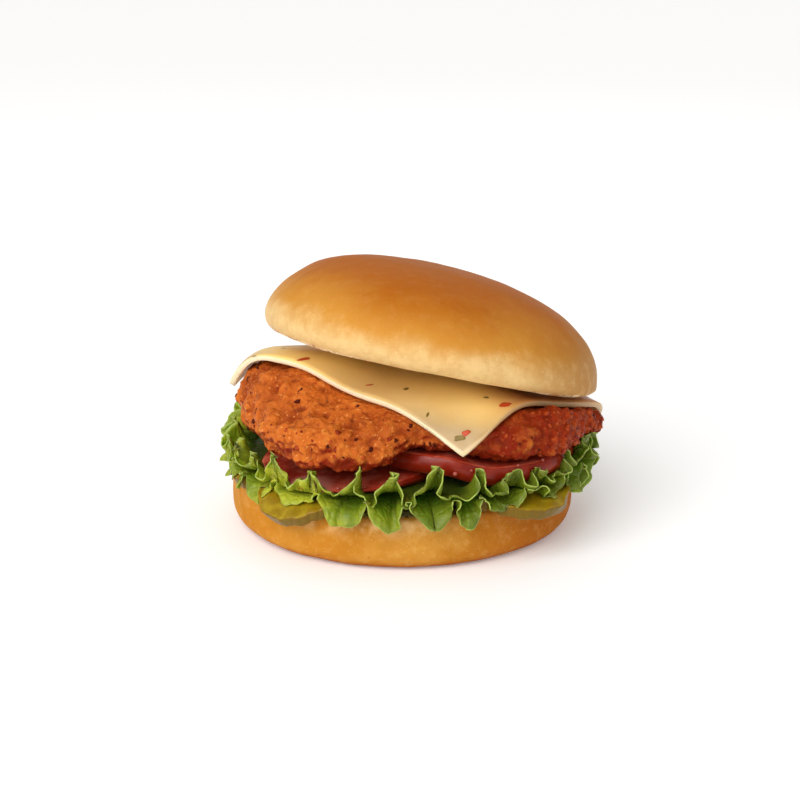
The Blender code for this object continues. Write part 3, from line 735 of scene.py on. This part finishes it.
crumbs = [crumb for spec in CRUMBS for crumb in scattered(breaded, *spec)]
crisp = surface("fried crumb", 0.36, Specular_IOR_Level=0.12)
browning = between(crisp, grain(crisp, 2.5 * MM), 0.35, 0.65)
given(crisp, "Base Color", mixed(crisp, browning, tint(*CRUMB_DARK), tint(*CRUMB_LIGHT)))
embossed(crisp, (grain(crisp, 0.6 * MM), 0.2 * MM))
joined(crumbs, "breading_crumbs", crisp)

# The cheese is one oblong slice, milky and pale. It has softened on the hot fillet and hangs over
# it by its corners, but its cut edges are still square. It looks deeper where the crown shades it.

CHEESE_PALE = (188, 161, 120)
CHEESE_MILKY = (182, 148, 98)
CHEESE_DEEP = (255, 216, 130)  # painted light bounced under the crown, and the next one painted shade under its right side
CHEESE_DEEP_RIGHT = (190, 124, 62)
# a painted highlight on the cut edges, and the next one weaker on the right
CHEESE_EDGE = (242, 220, 182)
CHEESE_EDGE_RIGHT = (206, 168, 116)
CHEESE_SHELTER = 14 * MM  # from the crown, where the painted light and shade under it begin
CHEESE_SHELTER_FADE = 9 * MM

cheese_sheet = copied("cheese_slice", "cheese_sheet")
smoothed(cheese_sheet, 2, 0.7)
roughened(cheese_sheet, "CLOUDS", 14 * MM, 0.5 * MM)

over_cheese = solid_of("crown")
# How near the crown each point lies, for the painted light and shade under it.
sheltered = cheese_sheet.data.attributes.new("sheltered", "FLOAT", "POINT")
for v in cheese_sheet.data.vertices:
    share = (CHEESE_SHELTER - over_cheese.find_nearest(v.co)[3]) / CHEESE_SHELTER_FADE
    sheltered.data[v.index].value = min(1.0, max(0.0, share))

cheese = surface("pepper cheese", 0.36, Specular_IOR_Level=0.3, Subsurface_Weight=0.35,
                 Subsurface_Scale=0.004, Subsurface_Radius=(1.0, 0.7, 0.35))
cheese_side = along(cheese, "X")
milky = between(cheese, grain(cheese, 12 * MM), 0.3, 0.7)
face = mixed(cheese, milky, tint(*CHEESE_PALE), tint(*CHEESE_MILKY))
# Painted light bounced under the crown, turning to painted shade under its right side.
deep = mixed(cheese, between(cheese, cheese_side, 18 * MM, 38 * MM),
             tint(*CHEESE_DEEP), tint(*CHEESE_DEEP_RIGHT))
face = mixed(cheese, worked(cheese, "Attribute", out="Fac", attribute_name="sheltered"), face, deep)
# A painted highlight on the cut edges that face sideways, weaker on the right.
edge = mixed(cheese, between(cheese, cheese_side, 10 * MM, 28 * MM),
             tint(*CHEESE_EDGE), tint(*CHEESE_EDGE_RIGHT))
given(cheese, "Base Color", mixed(cheese, facing_up(cheese, 0.45, 0.1), face, edge))
embossed(cheese, (grain(cheese, 3 * MM, 2), 0.08 * MM))
cheese_sheet.data.materials.append(cheese)
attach(cheese_sheet, "root")
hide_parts("cheese_slice")

# The flecks are chopped red and green peppers, stirred into the cheese. They show where they lie
# just under its face, as thin soft bits that stand out of it by less than their thickness.

RED_FLECKS = (  # a place near the slice, half length and half width in mm, turn in degrees
    ((-29.0, -18.8, 55.0), 2.1, 0.95, 10),
    ((29.1, -42.2, 48.5), 2.0, 1.2, 20),
    ((17.8, -50.9, 42.0), 1.4, 0.8, 30),
    ((-9.4, -30.3, 50.5), 1.2, 0.5, -20),
    ((-20.0, 24.0, 58.0), 1.5, 0.8, 70),
    ((22.0, 26.0, 54.0), 1.6, 0.7, 130),
    ((44.0, 6.0, 50.0), 1.4, 0.8, 40),
)
GREEN_FLECKS = (
    ((1.0, -32.7, 50.0), 1.2, 0.7, 50),
    ((7.2, -46.2, 46.2), 1.1, 0.35, 60),
    ((16.1, -51.3, 40.5), 1.7, 0.8, 10),
    ((23.9, -37.6, 49.2), 0.9, 0.6, 0),
    ((-44.7, -9.9, 53.5), 1.6, 0.3, 40),
    ((-36.0, -4.0, 58.0), 0.8, 0.5, 0),
    ((-6.0, 36.0, 56.0), 1.4, 0.6, 100),
    ((34.0, 16.0, 54.0), 1.3, 0.5, 10),
    ((50.0, 0.0, 48.0), 1.0, 0.7, 80),
)
FLECK_FLATNESS = 0.12  # thickness as a share of the width
FLECKS = (  # name, where they are, darker and lighter colour
    ("red_flecks", RED_FLECKS, (150, 40, 14), (214, 84, 32)),
    ("green_flecks", GREEN_FLECKS, (84, 70, 18), (146, 118, 36)),
)

cheese_face = skin_of(cheese_sheet)
for kind, flecks, dark, light in FLECKS:
    bits = []
    for near, long, wide, turn in flecks:
        place, outward, _, _ = cheese_face.find_nearest(Vector(near) * MM)
        sizes = (long * MM, wide * MM, FLECK_FLATNESS * wide * MM)
        bits.append(bit(*sizes, place, outward, math.radians(turn), levels=3))
    chopped = surface(kind.replace("_", " "), 0.35, Specular_IOR_Level=0.3)
    fleck_colour = mixed(chopped, grain(chopped, 1.2 * MM), tint(*dark), tint(*light))
    given(chopped, "Base Color", fleck_colour)
    joined(bits, kind, chopped)

# The crown is the domed half of the bun. Its glazed crust is brown on top, golden on the flanks
# and pale low down, where the buns touched in the oven. It lies askew and leans to the right.

CROWN_MIDDLE = (8.4 * MM, 0.0, 50.7 * MM)  # middle of its cut face
CROWN_LEAN = (math.radians(-8.0), math.radians(11.7), 0.0)
CROWN_TOP = (177, 95, 12)
CROWN_FLANK = (200, 138, 56)
CROWN_LOW = (218, 182, 122)
# painted shade on the right of the lower crust
CROWN_LOW_RIGHT = (176, 120, 56)
CROWN_BLISTER = (255, 236, 190)
CROWN_LIGHT_BLOTCH = (246, 206, 146)
CROWN_DARK_BLOTCH = (180, 110, 34)

crown = copied("crown", "bun_crown")
smoothed(crown, 2, 0.6)
roughened(crown, "CLOUDS", 22 * MM, 1.0 * MM)
roughened(crown, "CLOUDS", 3 * MM, 0.10 * MM)

crown_crust = surface("crown crust", 0.4, Specular_IOR_Level=0.02, Subsurface_Weight=0.1,
                      Subsurface_Scale=0.003)
lean = {"Vector": position(crown_crust), "Location": CROWN_MIDDLE, "Rotation": CROWN_LEAN}
in_crown = worked(crown_crust, "Mapping", lean, vector_type="TEXTURE")
above_cut = along(crown_crust, "Z", in_crown)
wobble = between(crown_crust, grain(crown_crust, 18 * MM), 0.3, 0.7, -2.0 * MM, 2.0 * MM)
baked = summed(crown_crust, above_cut, wobble)
crown_colour = mixed(crown_crust, between(crown_crust, baked, 4 * MM, 12 * MM),
                     tint(*CROWN_LOW), tint(*CROWN_FLANK))
# Painted shade on the right of the crown's lower crust, which lies away from the lamps.
to_right = between(crown_crust, along(crown_crust, "X", in_crown), 20 * MM, 46 * MM, 0.0, 0.8)
crown_colour = mixed(crown_crust, to_right, crown_colour, tint(*CROWN_LOW_RIGHT))
crown_colour = mixed(crown_crust, between(crown_crust, baked, 9 * MM, 24 * MM),
                     crown_colour, tint(*CROWN_TOP))
blister = times(crown_crust, between(crown_crust, cells(crown_crust, 1.2 * MM), 0.22, 0.06),
                between(crown_crust, baked, 12 * MM, 5 * MM, 0.05, 0.24))
crown_colour = mixed(crown_crust, blister, crown_colour, tint(*CROWN_BLISTER))
crown_mottle = mottle(crown_crust, 3.6 * MM)
pale_low = between(crown_crust, baked, 14 * MM, 6 * MM, 0.03, 0.17)
lighter = times(crown_crust, between(crown_crust, crown_mottle, 0.0, 0.3), pale_low)
crown_colour = mixed(crown_crust, lighter, crown_colour, tint(*CROWN_LIGHT_BLOTCH))
darker = times(crown_crust, between(crown_crust, crown_mottle, 0.0, -0.3), pale_low)
crown_colour = mixed(crown_crust, darker, crown_colour, tint(*CROWN_DARK_BLOTCH))
under_cut = between(crown_crust, above_cut, 0.5 * MM, -0.1 * MM)
crown_colour = mixed(crown_crust, under_cut, crown_colour, bread(crown_crust))
given(crown_crust, "Base Color", crown_colour)
embossed(crown_crust, (grain(crown_crust, 1.6 * MM, 5), 0.12 * MM),
         (cells(crown_crust, 4 * MM), 0.08 * MM))
crown.data.materials.append(crown_crust)
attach(crown, "root")
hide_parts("crown")

# The stage is not part of the burger: a plain pale floor that glows a little, as a lit studio
# sweep does, with soft lamps mainly from the front left, a broad sun and a camera on a long lens.

FLOOR_SIZE = 30.0
FLOOR_WHITE = (0.97, 0.97, 0.97, 1)
FLOOR_GLOW = 0.16
WARM_WHITE = (1.0, 0.99, 0.97, 1)
SKY_STRENGTH = 0.5
LAMPS = (  # place, width, power
    ((-0.60, -0.60, 0.35), 0.50, 1.9),
    ((0.50, -0.60, 0.30), 0.60, 0.45),
    ((0.00, -0.80, 0.12), 0.90, 0.35),
    ((0.10, 0.60, 0.55), 0.60, 0.5),
)
LAMPS_POINT_AT = Vector((0, 0, 40 * MM))
SUN_SHINES = Vector((0.35, 0.65, -0.65))
SUN_SPREAD = math.radians(45)
SUN_STRENGTH = 1.7
CAMERA_LENS = 88.2
CAMERA_DISTANCE = 0.6
CAMERA_HEIGHT = math.radians(16.7)
LOOKED_AT = Vector((-0.73 * MM, 0, 36.2 * MM))


def staged(name, data, place, direction):
    """A lamp or camera at a place, turned to look in a direction."""
    thing = bpy.data.objects.new(name, data)
    bpy.context.scene.collection.objects.link(thing)
    thing.location = place
    thing.rotation_euler = direction.to_track_quat("-Z", "Y").to_euler()
    return thing


bpy.ops.object.select_all(action="DESELECT")
bpy.ops.mesh.primitive_plane_add(size=FLOOR_SIZE, location=(0, 0, 0))
floor = bpy.context.object
floor.name = "floor"
floor.data.materials.append(surface("pale floor", 0.7, Base_Color=FLOOR_WHITE,
                                    Emission_Color=WARM_WHITE, Emission_Strength=FLOOR_GLOW))

for place, width, power in LAMPS:
    lamp = bpy.data.lights.new("lamp", "AREA")
    lamp.size = width
    lamp.energy = power
    staged("lamp", lamp, place, LAMPS_POINT_AT - Vector(place))

sun = bpy.data.lights.new("sun", "SUN")
sun.angle = SUN_SPREAD
sun.energy = SUN_STRENGTH
staged("sun", sun, (0, 0, 0), SUN_SHINES)

world = bpy.data.worlds.new("studio")
world.use_nodes = True
world.node_tree.nodes["Background"].inputs["Color"].default_value = WARM_WHITE
world.node_tree.nodes["Background"].inputs["Strength"].default_value = SKY_STRENGTH
bpy.context.scene.world = world
bpy.context.scene.view_settings.view_transform = "Standard"

camera = bpy.data.cameras.new("camera")
camera.sensor_width = 36
camera.lens = CAMERA_LENS
forward = Vector((0, math.cos(CAMERA_HEIGHT), -math.sin(CAMERA_HEIGHT)))
bpy.context.scene.camera = staged("camera", camera, LOOKED_AT - forward * CAMERA_DISTANCE, forward)
